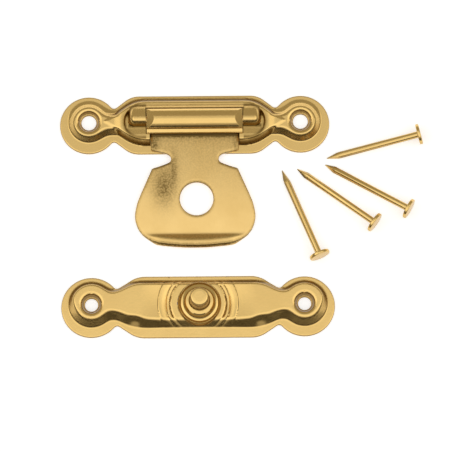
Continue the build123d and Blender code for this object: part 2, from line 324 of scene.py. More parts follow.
# Hinge plate
hingePlate = {
    "sheet": 0.4,
    "edge": 0.12,
    "spacing": 0.1,
    "cliff": noLimit,  # cells of the grid with a greater rise than this are left out
    "least": 0.0,
    "holeX": 14.15,
    "holeR": 1.0,
    "shiftY": -0.35,
    "earR": 3.86,
    "half": 3.95,
    "cornerX": 8.45,
    "cutAngle": 37.5,
    "leastNeck": 0.5,
    "cornerRound": 0.6,
    "notchRound": 0.8,
    "ringR": 2.8,
    "ringHeight": 0.9,
    "ringWall": 1.05,
    "ringSoft": 0.3,  # how much further out the ring's foot starts at the back, where it is softer
    "ringBack": (-0.8, 2.4),  # where the softer back starts, and over what length it grows
    "ringFoot": (0.15, 0.4),  # share of the wall that bends at its foot, and what the back adds
    "neckHalf": 1.8,
    "neckRound": 0.9,
    "neckJoin": 0.5,
    "neckJoinRise": 0.7,  # height over the flange at which the join is at its roundest
    "dish": ((1.04, 0.0), (1.5, 0.8), (1.8, 0.9)),  # radius, and height in the nail hole's dimple
    "housingFront": 3.22,
    "housingBack": 3.4,
    "leastFlange": 0.2,
    "housingCornerX": 8.0,
    "housingAngle": 33.0,
    "housingRound": 0.8,
    "housingHeight": 1.3,
    "housingJoin": 0.5,
    "housingEndX": 12.15,
    "housingBackY": (-1.0, 2.0),  # where the wider back starts, and over what length it grows
    "neckX": (9.6, 11.2),  # where the housing comes down to the neck's height
    "wallFront": 0.75,
    "wallBack": 0.9,
    "padX": 7.25,
    "padR": 2.3,
    "padY": -0.15,
    "padBackY": 1.95,
    "padLow": 0.72,
    "padTilt": 0.15,
    "padWall": 0.35,
    "knuckleEndX": 8.9,
    "knuckleEndRun": 0.9,
    "knuckleY": 0.1,
    "knuckleBackY": 2.1,
    "knuckleTop": 2.7,
    "knuckleRise": 1.5,
    "knuckleBack": 0.27,
    "knuckleFront": 0.92,
    "knuckleJoin": 0.3,
    "windowX": 6.5,
    "windowY": (-1.85, 1.6),
    "slotX": 5.98,
    # strengths and places of the painted shade on the hinge plate
    "shadeEnds": 0.9,
    "shadeFront": (-0.75, 0.3),  # middle and spread of the painted shade in front of the knuckles
    "shadePad": (-0.15, 0.25),  # the same for the band round the D-shaped ends
    "shadeHalfY": 2.6,
    "shadeWindow": 1.2,
    "shadeWindowRun": 0.15,
}


def hingeRim(x, y):
    return plateRim(hingePlate, x, y)


def earRings(ax, y):
    # Ears and necks: height over the flange
    h = hingePlate
    fromHole = np.hypot(ax - h["holeX"], y)
    start, length = h["ringBack"]
    atBack = ease((y - start) / length)
    ring = fromHole - h["ringR"] - h["ringSoft"] * atBack
    ring = meet(ring, np.maximum(np.abs(y) - h["neckHalf"], ax - h["holeX"]), h["neckRound"])
    run = h["ringWall"] + 1.5 * h["ringSoft"] * atBack
    foot, more = h["ringFoot"]
    low = h["ringHeight"] * wall(-ring / run, foot + more * atBack)
    return np.minimum(low, along(fromHole, h["dish"]))


def padEdge(ax, y):
    # How far outside the D-shaped floor at either end of the barrel
    h = hingePlate
    return np.hypot(np.maximum(ax - h["padX"], 0), y - h["padY"]) - h["padR"]


def hingeHousing(x, ax, y):
    # Raised middle with its D-shaped ends: height over the flange
    h = hingePlate
    angle = math.radians(h["housingAngle"])
    start, length = h["housingBackY"]
    toBack = ease((y - start) / length)
    side = np.abs(y) - h["housingFront"] - (h["housingBack"] - h["housingFront"]) * toBack
    slant = (ax - h["housingCornerX"]) * math.sin(angle) + side * math.cos(angle)
    within = plateOutline(h, x, y) + h["leastFlange"]
    housing = cross(cross(side, slant, h["housingRound"]), within, h["housingJoin"])
    housing = housing / (h["wallFront"] + (h["wallBack"] - h["wallFront"]) * toBack)
    toNeck = ease((ax - h["neckX"][0]) / (h["neckX"][1] - h["neckX"][0]))
    crest = h["housingHeight"] + (h["ringHeight"] - h["housingHeight"]) * toNeck
    high = crest * wall(-housing)
    high = np.where(ax < h["housingEndX"], high, 0)
    floor = h["padLow"] + np.maximum(h["padBackY"] - y, 0) * h["padTilt"]
    return high - ease(-padEdge(ax, y) / h["padWall"]) * np.maximum(high - floor, 0)


def hingeKnuckles(ax, y):
    # Arches over the pin's ends, gentle behind and steep in front
    h = hingePlate
    beyond = np.maximum(ax - h["knuckleEndX"] + h["knuckleEndRun"], 0) / h["knuckleEndRun"]
    back = y - h["knuckleY"]
    across = np.minimum(back, 0) / h["knuckleFront"]
    arch = np.sqrt(np.clip(1 - beyond ** 2 - across ** 2, 0, 1))
    knuckle = h["knuckleTop"] - h["knuckleRise"] * (1 - arch)
    knuckle = knuckle - h["knuckleBack"] * np.maximum(back, 0) ** 2
    return np.where((arch > 0) & (y < h["knuckleBackY"]), knuckle, -noLimit)


def hingeHeight(x, y):
    h = hingePlate
    ax = np.abs(x)
    low, high = earRings(ax, y), hingeHousing(x, ax, y)
    both = ease(np.minimum(low, high) / h["neckJoinRise"])
    z = h["sheet"] - meet(-low, -high, 0.01 + h["neckJoin"] * both)
    joined = -meet(-z, -hingeKnuckles(ax, y), h["knuckleJoin"])
    z = np.where(ax < h["padX"] + h["padR"], joined, z)
    # the wall is cut away where the flap comes out
    return np.where((ax < h["slotX"]) & (y < 0), h["sheet"], z)


def hingeGaps(x, y):
    h = hingePlate
    return (np.abs(x) < h["windowX"]) & (y > h["windowY"][0]) & (y < h["windowY"][1])


def hingeShade(x, y):
    # Painted shade round the D-shaped ends, in front of the knuckles and at the window's back edge
    h = hingePlate
    ax = np.abs(x)
    front = near(y, *h["shadeFront"]) * (ax < h["knuckleEndX"])
    ends = near(padEdge(ax, y), *h["shadePad"]) + front
    ends = h["shadeEnds"] * ends * (ax > h["windowX"]) * (np.abs(y) < h["shadeHalfY"])
    back = near(y, h["windowY"][1], h["shadeWindowRun"]) * (ax < h["windowX"] + h["spacing"])
    return ends + h["shadeWindow"] * back


def makeHingePlate():
    h = hingePlate
    piece = pressSheet("hingePlate", h, plateLimits(h), hingeRim, hingeHeight, hingeGaps)
    findHollows(piece, hingeHeight, hingeShade)
    toMetres(piece)
    shadeSmooth(piece)
    return piece


# Catch plate
catchPlate = {
    "sheet": 0.4,
    "edge": 0.12,
    "spacing": 0.09,
    "cliff": 0.6,
    "least": 0.0,
    "centre": (0.3, -24.75),
    "holeX": 14.15,
    "holeR": 0.87,
    "shiftY": -0.35,
    "earR": 4.02,
    "half": 4.13,
    "cornerX": 8.15,
    "cutAngle": 34.0,
    "leastNeck": 0.5,
    "cornerRound": 0.6,
    "notchRound": 0.7,
    "raisedHalf": 3.25,
    "raisedCornerX": 8.9,
    "raisedAngle": 33.0,
    "raisedEarR": 3.15,
    "raisedNeck": 1.95,
    "raisedCornerRound": 0.8,
    "raisedNotchRound": 0.9,
    "raisedHeight": 1.1,
    "wallBack": 0.75,
    "wallFront": 1.4,
    "wallTurn": 3.0,  # length over which the wall goes from the one width to the other
    "corner": (8.3, -2.4),  # where the front wall is wider still, over what size, and by how much
    "cornerSize": (1.0, 0.9),
    "cornerSpread": 0.7,
    "dish": ((0.91, 0.0), (1.4, 1.0), (1.65, 1.1)),  # radius, and height in the nail hole's dimple
    # radius of each step, the fall towards it and the rise at it
    "steps": ((5.4, 0.24, 0.1), (4.3, 0.22, 0.14), (3.65, 0.16, 0.07)),
    "stepRun": 0.14,
    "stepRunUnder": 0.5,
    "terraceRun": 2.4,
    "terraceCurve": 1.6,
    "studFoot": 2.75,
}


def catchRim(x, y):
    return plateRim(catchPlate, x, y)


def terraces(radius, run):
    # The sheet sinks towards the stud and steps up again at each radius
    c = catchPlate
    level = 0.0
    outer = c["steps"][0][0] + c["terraceRun"]
    z = np.zeros_like(radius)
    for stepR, fall, rise in c["steps"]:
        part = np.clip((outer - radius) / (outer - stepR), 0, 1) ** c["terraceCurve"]
        z = np.where(radius < outer, level - fall * part, z)
        level += rise - fall
        lift = np.clip((stepR - radius) / run, 0, 1)
        z = np.where(radius < stepR, level - rise * (1 - lift), z)
        outer = stepR - run
    return z


def catchRelief(x, y, run):
    c = catchPlate
    raised = earsAndMiddle(
        x, y, c["holeX"], c["raisedEarR"], c["raisedHalf"], c["raisedCornerX"], c["raisedAngle"],
        c["raisedNeck"], c["raisedCornerRound"], c["raisedNotchRound"],
    )
    width = c["wallBack"] + (c["wallFront"] - c["wallBack"]) * ease(0.5 - y / c["wallTurn"])
    (cornerX, cornerY), (wide, long) = c["corner"], c["cornerSize"]
    atCorner = near(np.abs(x), cornerX, wide) * near(y, cornerY, long)
    width = width + c["cornerSpread"] * atCorner
    fromHole = np.hypot(np.abs(x) - c["holeX"], y)
    z = wall(-raised / width) * (c["raisedHeight"] + terraces(np.hypot(x, y), run))
    dimple = along(fromHole, c["dish"]) + noLimit * (fromHole > c["dish"][-1][0])
    return c["sheet"] + np.minimum(z, dimple)


def catchHeight(x, y):
    return catchRelief(x, y, catchPlate["stepRun"])


def catchUnder(x, y):
    return catchRelief(x, y, catchPlate["stepRunUnder"])


def catchGaps(x, y):
    return np.hypot(x, y) < catchPlate["studFoot"]


def circleSteps(points):
    # Points beside a step are drawn onto its two circles, so that the step runs clean
    c = catchPlate
    radius = np.hypot(points[:, 0], points[:, 1])
    target = radius.copy()
    best = np.full(len(radius), 0.55 * c["spacing"])
    for stepR, _, _ in c["steps"]:
        for circle in (stepR, stepR - c["stepRun"]):
            off = np.abs(radius - circle)
            target = np.where(off < best, circle, target)
            best = np.minimum(best, off)
    points[:, :2] *= (target / np.maximum(radius, 1e-6))[:, None]


# Stud, in profile from its foot to its top
stud = {
    "shiftX": 0.2,
    "postShiftY": 0.18,
    # height from which the stud leans over to its post's centre, and over what height
    "postFrom": 1.9,
    "postRun": 0.9,
    "topInset": 0.25,
    # painted shade on the stud's upright walls
    "dullAndShade": 1.5,
    "profile": (
        (2.98, 0.42),
        (2.95, 1.0),
        (2.85, 1.5),
        (2.78, 1.74),
        (2.7, 1.82),
        (2.6, 1.78),
        (2.45, 1.7),
        (2.12, 1.78),
        (1.98, 1.95),
        (1.9, 2.25),
        (1.8, 2.44),
        (1.66, 2.47),
        (1.45, 2.5),
        (1.32, 2.7),
        (1.28, 3.1),
        (1.26, 4.2),
        (1.25, 5.25),
        (1.22, 5.42),
        (1.14, 5.53),
        (1.02, 5.58),
        (0.9, 5.6),
    ),
    "segments": 96,
    "sheet": 0.3,
}


def makeStud():
    s = stud
    profile = s["profile"]
    deselectAll()
    bpy.ops.mesh.primitive_circle_add(
        vertices=s["segments"], radius=profile[0][0], location=(0, 0, profile[0][1])
    )
    piece = bpy.context.object
    piece.name = "stud"
    bpy.ops.object.transform_apply(location=True, rotation=True, scale=True)
    bpy.ops.object.mode_set(mode="EDIT")
    bpy.ops.mesh.select_mode(type="EDGE")
    bpy.ops.mesh.select_all(action="SELECT")
    for (r0, z0), (r1, z1) in zip(profile[:-1], profile[1:]):
        bpy.ops.mesh.extrude_edges_indiv()
        bpy.ops.transform.translate(value=(0, 0, z1 - z0))
        bpy.ops.transform.resize(value=(r1 / r0, r1 / r0, 1), center_override=(0, 0, z1))
    bpy.ops.mesh.edge_face_add()
    bpy.ops.mesh.inset(thickness=s["topInset"])
    bpy.ops.mesh.select_all(action="SELECT")
    bpy.ops.mesh.normals_make_consistent(inside=False)
    bpy.ops.object.mode_set(mode="OBJECT")
    applyModifier(piece, "SOLIDIFY", thickness=s["sheet"], offset=-1)
    points = readPoints(piece.data)
    points[:, 0] += s["shiftX"]
    points[:, 1] += s["postShiftY"] * ease((points[:, 2] - s["postFrom"]) / s["postRun"])
    writePoints(piece.data, points)
    return piece


def makeCatchPlate():
    c = catchPlate
    piece = pressSheet(
        "catchPlate", c, plateLimits(c), catchRim, catchHeight, catchGaps,
        tidyUp=circleSteps, under=catchUnder,
    )
    findHollows(piece, catchHeight)
    drawn = makeStud()
    paint(drawn.data, "tarnishWearAndShade", stud["dullAndShade"] * findSteep(drawn))
    joinPieces(piece, drawn)
    toMetres(piece, (*c["centre"], 0))
    shadeSmooth(piece)
    return piece


# Flap
flap = {
    "sheet": 0.5,
    "top": 1.0,
    "edge": 0.12,
    "backY": -0.5,
    "shoulder": (5.86, -3.85),
    "neck": (
        (4.6, -4.18), (3.75, -4.4), (3.32, -4.68), (3.18, -5.05),
        (3.27, -5.42), (3.65, -5.68), (4.6, -6.05),
    ),
    "cheek": (5.72, -6.4),
    "side": (
        (7.27, -9.9), (7.75, -11.2), (8.03, -12.9), (7.65, -14.4), (6.95, -15.35), (5.9, -15.98),
    ),
    "chin": ((4.75, -16.4), (3.2, -16.65), (1.6, -16.83), (0, -16.87)),
    "holeX": 0.2,
    "holeY": -10.48,
    "holeR": 2.24,
    "lipY": -15.4,
    "lipAngle": 35.0,
    "lipFade": (4.4, 7.0),  # half widths between which the bend runs out
    "lipBend": 0.12,
    "lipRoll": 0.38,
    "lipRollWidth": 0.33,
    "roll": 0.12,  # how far the edge is drawn down by the punch, and over what width
    "rollWidth": 0.42,
    "bow": 0.46,
    "bowFrom": -4.0,
    "bowRun": 11.0,
    "least": 0.02,
    "spacing": 0.11,
    "cliff": noLimit,
    "limits": ((-8.3, -17.9), (8.3, 0)),
    "rollFrom": -1.8,
    "lipFrom": -15.3,  # where the edge starts to be drawn down more, and over what length
    "lipRun": 0.6,
    "lipLeast": 0.15,  # share of the bend that is left at the lip's ends
    "patches": (  # worn patches, and painted shade at the shoulders' corners in the last two: amount, then middle and spread across the flap and along it
        (0.75, -4.1, 1.5, -9, 2.6),
        (0.45, -2.8, 0.5, -6.5, 2),
        # these two are painted shade at the corners of the shoulders
        (0.6, -5.4, 0.6, -3.2, 1.0),
        (0.3, 5.5, 0.4, -3.2, 1.0),
    ),
    # painted shade in front of the barrel, darkest along its crease with the flap: amount, middle
    # and spread
    "shadeBands": ((2.2, -1.75, 0.28), (0.26, -1.9, 0.9)),
    "neckShade": (0.3, -13, 10),  # painted shade growing towards the neck: amount, where it starts, and over what length it grows
    # painted shade on the face of the bent-up lip
    "facetShade": 0.35,
    "facetInset": 0.6,
    "rimShade": (0.42, 0.4, 0.35),  # painted shade along the outline: amount, how far in it starts, and over what width it grows
    "rimShadeFrom": -5.5,
    "steep": (0.4, 0.1),
}

# Barrel that is rolled from the flap's sheet
barrel = {
    "half": 6.4,
    "r": 1.55,
    # where the rolled sheet ends, and the part of the round that it takes up, from the top forward
    "seam": ((-1.25, 2.81), (-1.27, 2.2), (-1.73, 2.02), (-1.8, 1.92), (-1.82, 0.95)),
    "seamTurn": (54, 125),
    "seamSteps": 3,
    "shutY": -1.75,  # below and in front of this the barrel is closed to the light, and shade is painted there
    "shutZ": 1.75,
    "shutShade": 3,
    "bore": 0.66,
    "hipRun": 1.1,
    "hipDrop": 0.8,
    "edge": 0.1,
    "axisZ": 1.9,
    "segments": 96,
}


def softLine(points, steps):
    # Points of a soft curve through the given ones
    points = np.array(points, float)
    padded = np.vstack([2 * points[0] - points[1], points, 2 * points[-1] - points[-2]])
    line = []
    for a, b, c, d in zip(padded[:-3], padded[1:-2], padded[2:-1], padded[3:]):
        for t in np.arange(steps) / steps:
            curve = 2 * b + (c - a) * t + (2 * a - 5 * b + 4 * c - d) * t ** 2
            curve = curve + (3 * b - a - 3 * c + d) * t ** 3
            line.append(curve / 2)
    return line + [points[-1]]


def flapOutline():
    f = flap
    half = [(0, f["backY"]), (f["shoulder"][0], f["backY"]), f["shoulder"]]
    half += softLine(f["neck"], 5) + [f["cheek"]] + softLine([*f["side"], *f["chin"]], 6)
    right = np.array(half)
    return np.vstack([right, right[-2:0:-1] * (-1, 1)])


flapLine = flapOutline()


def flapRim(x, y):
    # How far outside the flap's outline or inside its hole
    f = flap
    best = np.full(len(x), 1e9)
    inside = np.zeros(len(x), bool)
    for (x0, y0), (x1, y1) in zip(flapLine, np.roll(flapLine, -1, 0)):
        dx, dy = x1 - x0, y1 - y0
        t = np.clip(((x - x0) * dx + (y - y0) * dy) / (dx * dx + dy * dy), 0, 1)
        best = np.minimum(best, np.hypot(x - x0 - t * dx, y - y0 - t * dy))
        if dy:
            inside ^= ((y0 > y) != (y1 > y)) & (x < x0 + (y - y0) * dx / dy)
    signed = np.where(inside, -best, best)
    return np.maximum(signed, f["holeR"] - np.hypot(x - f["holeX"], y - f["holeY"]))


def lipShare(x):
    # One where the finger lip is bent up fully, none at its ends
    low, high = flap["lipFade"]
    return 1 - ease((np.abs(x) - low) / (high - low))


def flapHeight(x, y):
    f = flap
    atLip = ease((f["lipFrom"] - y) / f["lipRun"]) * lipShare(x)
    inside = np.clip(-flapRim(x, y) / (f["rollWidth"] + f["lipRollWidth"] * atLip), 0, 1)
    roll = f["roll"] + f["lipRoll"] * atLip
    return f["top"] - roll * (1 - inside) ** 2 * (y < f["rollFrom"])


def noGaps(x, y):
    return np.zeros(len(x), bool)


def bendFlap(piece):
    # The end of the flap is bent up as a finger grip, and the flap bows a little to its end
    f = flap
    mesh = piece.data
    points = readPoints(mesh)
    share = f["lipLeast"] + (1 - f["lipLeast"]) * lipShare(points[:, 0])
    angle = math.radians(f["lipAngle"]) * share
    bow = f["bow"] * np.clip((f["bowFrom"] - points[:, 1]) / f["bowRun"], 0, 1) ** 2
    base = f["lipY"] + f["sheet"] * math.tan(math.radians(f["lipAngle"]) / 2) + f["lipBend"] / 2
    radius = f["lipBend"] / angle
    past = base - points[:, 1]
    up = points[:, 2] - f["top"]
    turned = np.clip(past / radius, 0, angle)
    straight = np.maximum(past - f["lipBend"], 0)
    y = base - radius * np.sin(turned) - straight * np.cos(turned) + up * np.sin(turned)
    z = f["top"] + radius * (1 - np.cos(turned)) + straight * np.sin(turned) + up * np.cos(turned)
    points[:, 1] = np.where(past > 0, y, points[:, 1])
    points[:, 2] = np.where(past > 0, z, points[:, 2])
    points[:, 2] = np.maximum(points[:, 2] - bow, f["least"])
    writePoints(mesh, points)


def makeBarrel():
    b = barrel
    deselectAll()
    bpy.ops.mesh.primitive_cylinder_add(
        vertices=b["segments"], radius=b["r"], depth=2 * b["half"],
        location=(0, 0, b["axisZ"]), rotation=(0, math.pi / 2, 0),
    )
    piece = bpy.context.object
    piece.name = "barrel"
    bpy.ops.object.transform_apply(location=True, rotation=True, scale=True)
    points = readPoints(piece.data)
    seam = np.array(b["seam"])
    turn = np.degrees(np.arctan2(-points[:, 1], points[:, 2] - b["axisZ"]))
    start, end = b["seamTurn"]
    front = (turn > start) & (turn < end)
    marks = np.interp(turn, (start, end), (0, len(seam) - 1))
    marks = np.round(marks * b["seamSteps"]) / b["seamSteps"]
    points[:, 1] = np.where(front, np.interp(marks, np.arange(len(seam)), seam[:, 0]), points[:, 1])
    points[:, 2] = np.where(front, np.interp(marks, np.arange(len(seam)), seam[:, 1]), points[:, 2])
    writePoints(piece.data, points)
    bpy.ops.object.mode_set(mode="EDIT")
    bpy.ops.mesh.select_all(action="SELECT")
    bpy.ops.mesh.remove_doubles(threshold=0.01)
    for side in (-1, 1):
        bpy.ops.mesh.select_all(action="SELECT")
        bpy.ops.mesh.bisect(
            plane_co=(side * b["half"], 0, b["axisZ"] + b["r"] - b["hipDrop"]),
            plane_no=(side * b["hipDrop"], 0, b["hipRun"]), use_fill=True, clear_outer=True,
        )
    bpy.ops.mesh.select_all(action="SELECT")
    bpy.ops.mesh.normals_make_consistent(inside=False)
    bpy.ops.object.mode_set(mode="OBJECT")
    roundEdges(piece, b["edge"], 25)
    deselectAll()
    bpy.ops.mesh.primitive_cylinder_add(
        vertices=48, radius=b["bore"], depth=2 * b["half"] + 2,
        location=(0, 0, b["axisZ"]), rotation=(0, math.pi / 2, 0),
    )
    bore = bpy.context.object
    applyModifier(piece, "BOOLEAN", object=bore, operation="DIFFERENCE", solver="EXACT")
    bpy.data.objects.remove(bore)
    return piece


def flapWearAndShade(x, y):
    # Wear patches over the flap, and painted shade along the barrel's crease, towards the neck, on
    # the lip's face, along the outline and at the shoulders' corners
    f = flap
    dullAndShade = 0
    for amount, atX, wide, atY, long in f["patches"]:
        dullAndShade = dullAndShade + amount * near(x, atX, wide) * near(y, atY, long)
    for amount, atY, long in f["shadeBands"]:
        dullAndShade = dullAndShade + amount * near(y, atY, long)
    amount, start, run = f["neckShade"]
    dullAndShade = dullAndShade + amount * ease((y - start) / run)
    fromRim = flapRim(x, y)
    dullAndShade = dullAndShade + f["facetShade"] * (y < f["lipFrom"]) * (fromRim < -f["facetInset"])
    amount, start, run = f["rimShade"]
    return dullAndShade + amount * ease((fromRim + start) / run) * (y < f["rimShadeFrom"])


def makeFlap():
    f, b = flap, barrel
    piece = pressSheet("haspFlap", f, f["limits"], flapRim, flapHeight, noGaps)
    points = readPoints(piece.data)
    dullAndShade = flapWearAndShade(points[:, 0], points[:, 1])
    paint(piece.data, "tarnishWearAndShade", dullAndShade + findSteep(piece, *f["steep"]))
    bendFlap(piece)
    piece.data.materials.append(metals["flapBrass"])
    rolled = makeBarrel()
    points = readPoints(rolled.data)
    shut = (points[:, 2] < b["shutZ"]) & (points[:, 1] < b["shutY"])
    paint(rolled.data, "tarnishWearAndShade", b["shutShade"] * shut)
    rolled.data.materials.append(metals["barrelBrass"])
    joinPieces(piece, rolled)
    toMetres(piece)
    shadeSmooth(piece, 35)
    return piece


# Nails: plan place of each point, and the heading from point to head
nail = {
    "length": 12.95,
    "r": 0.45,
    "segments": 40,
    "headR": 1.4,
    "headSheet": 0.45,
    "point": 2.1,
    "tip": 0.04,
    "edge": 0.12,
    "twist": 20,  # how far each nail is turned about itself beyond the one before
    # painted shade on the upright sides of the shank and the head
    "shankShade": 0.9,
    "headShade": 0.3,
    "steep": (0.7, 0.35),
    "places": (
        (11.64, -6.67, -67.5), (13.67, -6.51, -36.5), (17.41, -5.96, -29.6), (17.65, -5.08, 13.6),
    ),
}


def makeNail():
    # Modelled upright with its point at the origin
    n = nail
    under = n["length"] - n["headSheet"]
    deselectAll()
    bpy.ops.mesh.primitive_cylinder_add(
        vertices=n["segments"], radius=n["r"], depth=under, location=(0, 0, under / 2)
    )
    piece = bpy.context.object
    piece.name = "nail"
    bpy.ops.object.transform_apply(location=True, rotation=True, scale=True)
    bpy.ops.object.mode_set(mode="EDIT")
    # four cuts make the point
    lean = math.atan2(n["point"], n["r"] - n["tip"])
    for quarter in range(4):
        turn = quarter * math.pi / 2
        toX, toY = math.cos(turn), math.sin(turn)
        bpy.ops.mesh.select_all(action="SELECT")
        bpy.ops.mesh.bisect(
            plane_co=(n["tip"] * toX, n["tip"] * toY, 0),
            plane_no=(math.sin(lean) * toX, math.sin(lean) * toY, -math.cos(lean)),
            use_fill=True, clear_outer=True,
        )
    bpy.ops.mesh.select_all(action="SELECT")
    bpy.ops.mesh.normals_make_consistent(inside=False)
    bpy.ops.object.mode_set(mode="OBJECT")
    # head
    deselectAll()
    bpy.ops.mesh.primitive_cylinder_add(
        vertices=64, radius=n["headR"], depth=n["headSheet"],
        location=(0, 0, under + n["headSheet"] / 2),
    )
    head = bpy.context.object
    bpy.ops.object.transform_apply(location=True, rotation=True, scale=True)
    roundEdges(head, n["edge"], 40)
    joinPieces(piece, head)
    return piece


def shadeSides(piece):
    # How much painted shade the upright sides get, which is less at the head
    fromPoint = readPoints(piece.data)[:, 2]
    atHead = fromPoint > nail["length"] - nail["headSheet"] - 0.01
    return np.where(atHead, nail["headShade"], nail["shankShade"])


def layNail(pattern, number, x, y, heading):
    n = nail
    piece = pattern.copy()
    piece.data = pattern.data.copy()
    piece.name = f"caseNail{number}"
    bpy.context.collection.objects.link(piece)
    under = n["length"] - n["headSheet"]
    rise = math.atan((n["headR"] - n["r"]) / (under - n["point"]))
    lying = Matrix.Rotation(math.pi / 2 - rise, 4, "Y")
    turn = Matrix.Rotation(math.radians(heading), 4, "Z") @ lying
    dullAndShade = shadeSides(piece)
    piece.data.transform(turn @ Matrix.Rotation(math.radians(n["twist"] * number), 4, "Z"))
    piece.data.update()
    paint(piece.data, "tarnishWearAndShade", dullAndShade * findSteep(piece, *n["steep"]))
    toMetres(piece, (x, y, -readPoints(piece.data)[:, 2].min()))
    shadeSmooth(piece, 35)
    return piece


# Finishes
grains = {  # the scales are repeats per metre
    "cloudScale": 220,
    "cloudDetail": 6,
    "cloudRoughness": 0.62,
    "cloudRange": (0.35, 0.68),  # part of the pattern that is stretched from one tone to the other
    "fleckScale": 4200,
    "fleckRange": (0.35, 0.65),
    "fleckGain": (0.5, 1.25),
    "grainScale": 3200,
    "grainDetail": 3,
    "streakScale": (9000, 600, 600),
    "depth": 0.00003,  # metres
}


def addGroup(name, inputs, outputs):
    tree = bpy.data.node_groups.new(name, "ShaderNodeTree")
    for socketName, kind, value in inputs:
        socket = tree.interface.new_socket(name=socketName, in_out="INPUT", socket_type=kind)
        if value is not None:
            socket.default_value = value
    for socketName, kind in outputs:
        tree.interface.new_socket(name=socketName, in_out="OUTPUT", socket_type=kind)
    return tree, tree.nodes.new("NodeGroupInput").outputs, tree.nodes.new("NodeGroupOutput").inputs


def setSocket(tree, socket, value):
    # The value is another node's output or a plain number
    if isinstance(value, bpy.types.NodeSocket):
        tree.links.new(value, socket)
    else:
        socket.default_value = value


def addMath(tree, operation, *values, clamp=False):
    node = tree.nodes.new("ShaderNodeMath")
    node.operation = operation
    node.use_clamp = clamp
    for socket, value in zip(node.inputs, values):
        setSocket(tree, socket, value)
    return node.outputs[0]


def addMix(tree, kind, share, first, second):
    node = tree.nodes.new("ShaderNodeMix")
    node.data_type = kind
    for name, value in (("Factor", share), ("A", first), ("B", second)):
        setSocket(tree, node.inputs[name], value)
    return node.outputs["Result"]


def addRange(tree, value, before=(0, 1), after=(0, 1)):
    node = tree.nodes.new("ShaderNodeMapRange")
    for name, number in zip(("From Min", "From Max", "To Min", "To Max"), (*before, *after)):
        node.inputs[name].default_value = number
    tree.links.new(value, node.inputs["Value"])
    return node.outputs["Result"]


def addNoise(tree, position, scale, detail=2, roughness=0.5):
    node = tree.nodes.new("ShaderNodeTexNoise")
    for name, number in (("Scale", scale), ("Detail", detail), ("Roughness", roughness)):
        node.inputs[name].default_value = number
    tree.links.new(position, node.inputs["Vector"])
    return node.outputs["Fac"]


def makePlatedTone():
    # Slow change of tone over plated brass, darkened towards the tarnish colour by a painted mask
    # of tarnish, wear and painted shade
    tree, given, out = addGroup(
        "platedTone",
        [
            ("Position", "NodeSocketVector", None),
            ("TarnishWearAndShade", "NodeSocketFloat", 0.0),
            ("Bright", "NodeSocketColor", (0.9, 0.6, 0.2, 1)),
            ("Deep", "NodeSocketColor", (0.7, 0.45, 0.12, 1)),
            ("Tarnishandshade", "NodeSocketColor", (0.4, 0.3, 0.12, 1)),
            ("Amount", "NodeSocketFloat", 0.5),
            ("Fleck", "NodeSocketFloat", 0.3),
        ],
        [("Tone", "NodeSocketColor"), ("Mask", "NodeSocketFloat")],
    )
    g, place = grains, given["Position"]
    clouds = addNoise(tree, place, g["cloudScale"], g["cloudDetail"], g["cloudRoughness"])
    share = addMath(tree, "MULTIPLY", addRange(tree, clouds, g["cloudRange"]), given["Amount"])
    tone = addMix(tree, "RGBA", share, given["Bright"], given["Deep"])
    uneven = addNoise(tree, place, g["fleckScale"])
    uneven = addRange(tree, uneven, g["fleckRange"], g["fleckGain"])
    flecked = addMix(tree, "FLOAT", given["Fleck"], 1, uneven)
    broken = addMath(tree, "MULTIPLY", given["TarnishWearAndShade"], flecked, clamp=True)
    tree.links.new(addMix(tree, "RGBA", broken, tone, given["Tarnishandshade"]), out["Tone"])
    tree.links.new(addMath(tree, "ADD", share, given["TarnishWearAndShade"], clamp=True), out["Mask"])
    return tree


def makeSheetGrain():
    # Height of the rolled sheet's fine grain and of the marks of handling
    tree, given, out = addGroup(
        "sheetGrain",
        [("Position", "NodeSocketVector", None), ("Scratch", "NodeSocketFloat", 0.4)],
        [("Height", "NodeSocketFloat")],
    )
    grain = addNoise(tree, given["Position"], grains["grainScale"], grains["grainDetail"])
    stretch = tree.nodes.new("ShaderNodeMapping")
    stretch.inputs["Scale"].default_value = grains["streakScale"]
    tree.links.new(given["Position"], stretch.inputs["Vector"])
    streak = addNoise(tree, stretch.outputs["Vector"], 1)
    streak = addMath(tree, "MULTIPLY", streak, given["Scratch"])
    tree.links.new(addMath(tree, "ADD", grain, streak), out["Height"])
    return tree


platedTone = makePlatedTone()
sheetGrain = makeSheetGrain()

